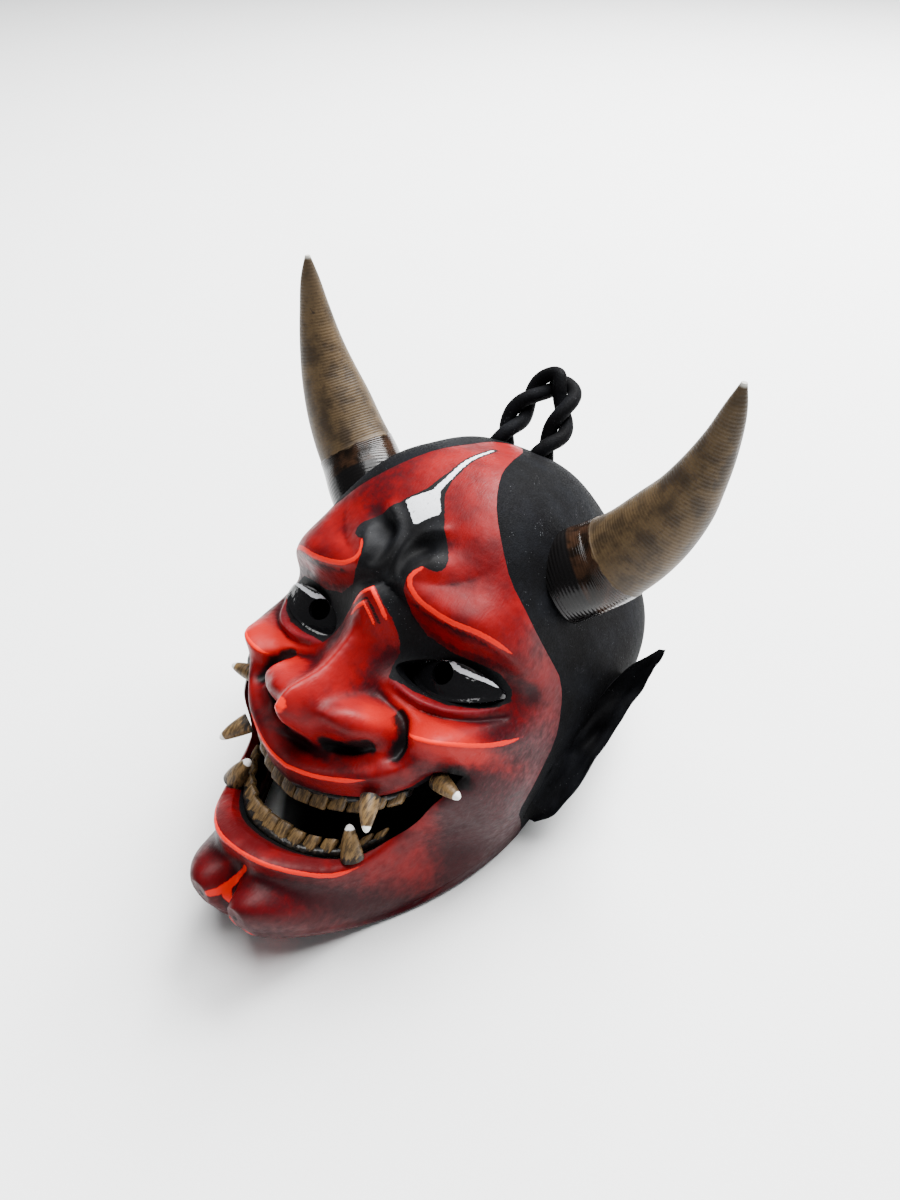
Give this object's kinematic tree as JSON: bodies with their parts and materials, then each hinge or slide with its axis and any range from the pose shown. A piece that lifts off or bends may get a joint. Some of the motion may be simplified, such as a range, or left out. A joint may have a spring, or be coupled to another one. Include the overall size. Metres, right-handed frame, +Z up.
{
  "type": "horned demon mask",
  "caption": "Small hollow demon mask with horns, pointed ears, a wide toothed grin, eye openings and a twisted hanging loop, standing on its flat rim.",
  "frame": {"origin": "centre of the bounding box's bottom face, on the plane the rim rests on", "axes": "+Z up from the table, +Y towards the crown and the loop, -Y towards the chin, +X towards the viewer's right when looking at the face"},
  "size_m": [0.1046, 0.1268, 0.1065],
  "materials": {
    "painted_red": "hand-painted satin red with bright orange-red edges, maroon washes and black brow panel",
    "matte_black": "matte black paint with a fine pale stipple",
    "gloss_black": "gloss black paint with silver brush marks",
    "horn_brown": "mottled olive-brown paint, darker and glossy at the base",
    "aged_ivory": "tan paint with dark streaks and pale tips"
  },
  "bodies": {
    "root": {"face_shell": "painted_red", "skull_shell": "matte_black", "horn_left": "horn_brown", "horn_right": "horn_brown", "ear_left": "matte_black", "ear_right": "matte_black", "eye_left": "gloss_black", "eye_right": "gloss_black", "upper_teeth": "aged_ivory", "lower_teeth": "aged_ivory", "loop_strand_front": "matte_black", "loop_strand_back": "matte_black", "upper_canine_left": "aged_ivory", "upper_canine_right": "aged_ivory", "corner_tusk_left": "aged_ivory", "corner_tusk_right": "aged_ivory", "lower_canine_left": "aged_ivory", "lower_canine_right": "aged_ivory"}
  },
  "joints": []
}
